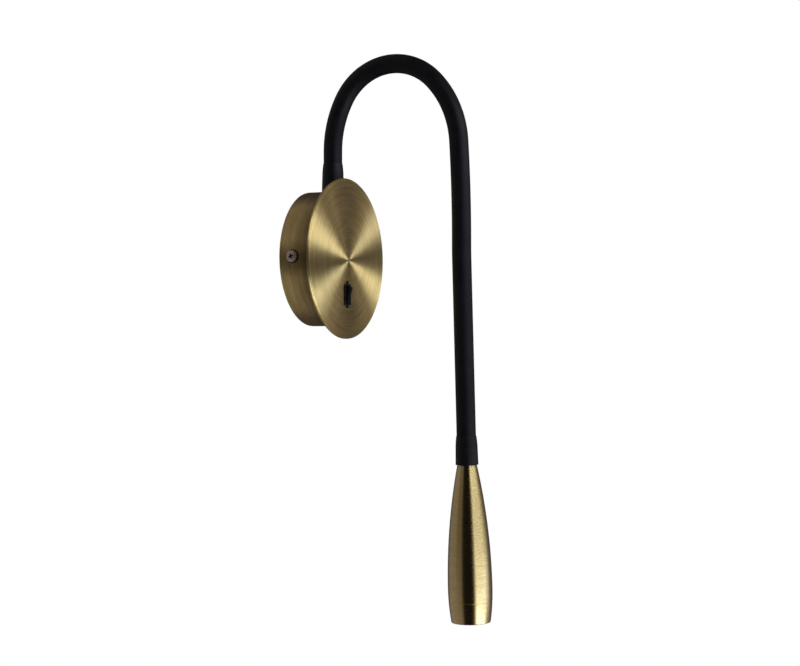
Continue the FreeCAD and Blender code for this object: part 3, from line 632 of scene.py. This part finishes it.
def hose_pieces():
    """A skin and a core tube for each hinge, in place of the hinged lengths of the CAD model."""
    pivots = pivot_places()
    hose_end = head_place - head_collar_length
    arm_joints = [joint for joint in frame["joints"] if joint["name"] != "switch_rock"]
    middles = [(a + b) / 2 for a, b in zip(pivots, pivots[1:])]
    cuts = [hose_start] + middles + [hose_end]
    forms = (("hose", "hose_skin", hose_radius, hose_bore_radius, skin_sides, "hose_rubber"),
             ("core", "hose_core", core_radius, core_bore_radius, core_sides, "core_steel"))
    for index, joint in enumerate(arm_joints):
        start, end = cuts[index], cuts[index + 1]
        for form, node, outer, inner, sides, slot in forms:
            piece = tube_piece("%s_%02d" % (form, index), start, end, outer, inner, sides, looks[slot])
            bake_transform(piece)
            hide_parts("%s_%02d" % (node, index))
            if index == len(arm_joints) - 1:
                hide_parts("%s_%02d" % (node, index + 1))


hose_pieces()


# Stage: floor, reflections, world and lamps


def direction_at(turn, rise):
    """Unit vector at a turn round the vertical and a rise above the level, in radians."""
    return Vector((math.cos(turn) * math.cos(rise), math.sin(turn) * math.cos(rise), math.sin(rise)))


def stage_mesh(name, vertices, faces):
    mesh = bpy.data.meshes.new(name)
    mesh.from_pydata(vertices, [], faces)
    piece = bpy.data.objects.new(name, mesh)
    bpy.context.scene.collection.objects.link(piece)
    return piece


def pale_floor():
    """Round floor that shows as the pale background and keeps the light's shadow."""
    turns = [2 * math.pi * side / floor_sides for side in range(floor_sides)]
    rim = [direction_at(turn, 0) * floor_radius + Z * floor_height for turn in turns]
    floor = stage_mesh("floor", rim, [tuple(range(floor_sides))])
    surface = Surface("pale_floor", Roughness=0.9, Specular_IOR_Level=0.1, Emission_Color=colour(1, 1, 1))
    cloud = surface.noise(scale=3.0, detail=3.0)
    surface.set("Base Color", surface.mix(cloud, colour(0.84, 0.84, 0.84), colour(0.87, 0.87, 0.87)))
    surface.set("Emission Strength", surface.math("MULTIPLY", surface.sees_background(), floor_lift))
    floor.data.materials.append(surface.made)


def tent_mesh():
    """Sphere round the light, turned so that its angles start at the camera's side."""
    vertices = []
    for row in range(tent_rows + 1):
        rise = math.pi * (row / tent_rows - 0.5)
        for side in range(tent_sides):
            vertices.append(direction_at(2 * math.pi * side / tent_sides, rise) * tent_radius)
    faces = []
    for row in range(tent_rows):
        low, high = row * tent_sides, (row + 1) * tent_sides
        for side in range(tent_sides):
            following = (side + 1) % tent_sides
            faces.append((low + side, low + following, high + following, high + side))
    tent = stage_mesh("reflection_tent", vertices, faces)
    tent.location = light_aim
    tent.rotation_euler.z = math.radians(camera_heading - 90)
    tent.visible_camera = False
    tent.visible_diffuse = False
    tent.visible_transmission = False
    tent.visible_shadow = False
    return tent


def in_radians(span):
    return [math.radians(angle) for angle in span]


def tent_ramp(nodes, angle):
    """Level of the tent by its angle to the right of the camera."""
    turn = nodes.math("MULTIPLY_ADD", angle, 0.5 / math.pi, 0.5)
    ramp = nodes.node("ValToRGB", turn)
    stops = ramp.color_ramp.elements
    while len(stops) > 1:
        stops.remove(stops[-1])
    for index, (degrees, level) in enumerate(tent_levels):
        position = (degrees + 180) / 360
        stop = stops[0] if index == 0 else stops.new(position)
        stop.position = position
        share = level / tent_peak
        stop.color = colour(share, share, share)
    return nodes.math("MULTIPLY", ramp.outputs[0], tent_peak)


def reflection_tent():
    """Shell round the stage that only reflections see: light and dark flags by direction."""
    material = bpy.data.materials.new("reflection_tent")
    material.use_nodes = True
    nodes = Nodes(material.node_tree)
    nodes.tree.nodes.clear()
    place = nodes.split(nodes.place())
    angle = nodes.math("ARCTAN2", place[1], place[0])
    rise = nodes.math("ARCSINE", nodes.math("DIVIDE", place[2], tent_radius))
    from_level = nodes.math("ABSOLUTE", rise)
    level = tent_ramp(nodes, angle)

    # How far the flags are open: a slit at the light's height, and wedges instead of it on the right
    mirror_turn = math.radians(mirror_angle - 90)
    beside = nodes.math("ADD", nodes.math("MULTIPLY", place[0], math.cos(mirror_turn)),
                        nodes.math("MULTIPLY", place[1], math.sin(mirror_turn)))
    wedge = nodes.math("ARCTAN2", nodes.math("ABSOLUTE", place[2]), nodes.math("ABSOLUTE", beside))
    opening = nodes.math("MAXIMUM", nodes.rising(from_level, in_radians(slit_rise)),
                         nodes.rising(angle, in_radians(slit_end)))
    is_right = nodes.math("GREATER_THAN", angle, 0.0)
    opening = nodes.between(opening, nodes.rising(wedge, in_radians(wedge_edge)), is_right)
    level = nodes.between(nodes.math("MINIMUM", level, slit_level), level, opening)

    # Glow on the dim flags, then the dark ceiling and ground and the patch on the bright ones
    glow_band = nodes.math("SUBTRACT", nodes.rising(from_level, in_radians(glow_start)),
                           nodes.rising(from_level, in_radians(glow_end)))
    glow = nodes.math("MULTIPLY", nodes.math("MINIMUM", level, glow_limit), glow_share)
    level = nodes.math("ADD", level, nodes.math("MULTIPLY", glow, glow_band))
    ceiling = nodes.math("MULTIPLY", nodes.rising(level, bright_start),
                         nodes.rising(wedge, in_radians(ceiling_edge)))
    level = nodes.between(level, ceiling_level, ceiling)
    patch = nodes.math("SUBTRACT", nodes.rising(rise, in_radians(patch_start)),
                       nodes.rising(rise, in_radians(patch_end)))
    patch_level = nodes.math("MULTIPLY", nodes.rising(level, patch_bright), patch_share * tent_peak)
    level = nodes.math("MULTIPLY_ADD", patch_level, patch, level)
    tint = nodes.mix(nodes.rising(level, tint_levels), dim_tint, bright_tint)
    tint = nodes.mix(nodes.rising(level, patch_tint_levels), tint, patch_tint)
    emission = nodes.node("Emission", tint, level)
    nodes.node("OutputMaterial", emission.outputs[0])
    tent_mesh().data.materials.append(material)


def world_light():
    """White background, with a dimmer white for the light that falls on surfaces."""
    world = bpy.data.worlds.new("studio")
    bpy.context.scene.world = world
    world.use_nodes = True
    nodes = Nodes(world.node_tree)
    nodes.tree.nodes.clear()
    room = nodes.node("Background", colour(1, 1, 1), room_level).outputs[0]
    background = nodes.node("Background", colour(1, 1, 1), 1.0).outputs[0]
    mixed = nodes.node("MixShader", nodes.sees_background(), room, background)
    nodes.node("OutputWorld", mixed.outputs[0])


def softbox(name, angle, elevation, distance, width, height, watts):
    """Area lamp aimed at the light, placed by its angle to the right of the camera and its elevation."""
    direction = direction_at(math.radians(camera_heading - 90 + angle), math.radians(elevation))
    lamp = bpy.data.lights.new(name, "AREA")
    lamp.shape = "RECTANGLE"
    lamp.size = width
    lamp.size_y = height
    lamp.energy = watts
    made = bpy.data.objects.new(name, lamp)
    made.location = light_aim + direction * distance
    made.rotation_euler = (-direction).to_track_quat("-Z", "Y").to_euler()
    made.visible_camera = False
    made.visible_glossy = False
    bpy.context.scene.collection.objects.link(made)


def photo_camera():
    """Level camera at the photograph's place, heading and focal length."""
    data = bpy.data.cameras.new("photo_camera")
    data.sensor_width = sensor_width_mm
    data.lens = focal_length_px / photo_width_px * sensor_width_mm
    data.clip_start = near_clip
    camera = bpy.data.objects.new("photo_camera", data)
    camera.location = camera_place
    camera.rotation_euler = Euler((math.radians(90), 0, math.radians(camera_heading)))
    bpy.context.scene.collection.objects.link(camera)
    bpy.context.scene.camera = camera


pale_floor()
reflection_tent()
world_light()
softbox("softbox_upper", angle=46, elevation=36, distance=1.5, width=1.5, height=1.0, watts=7.0)
softbox("softbox_lower", angle=42, elevation=-32, distance=1.4, width=1.3, height=0.9, watts=3.0)
photo_camera()
bpy.context.scene.view_settings.view_transform = "Standard"
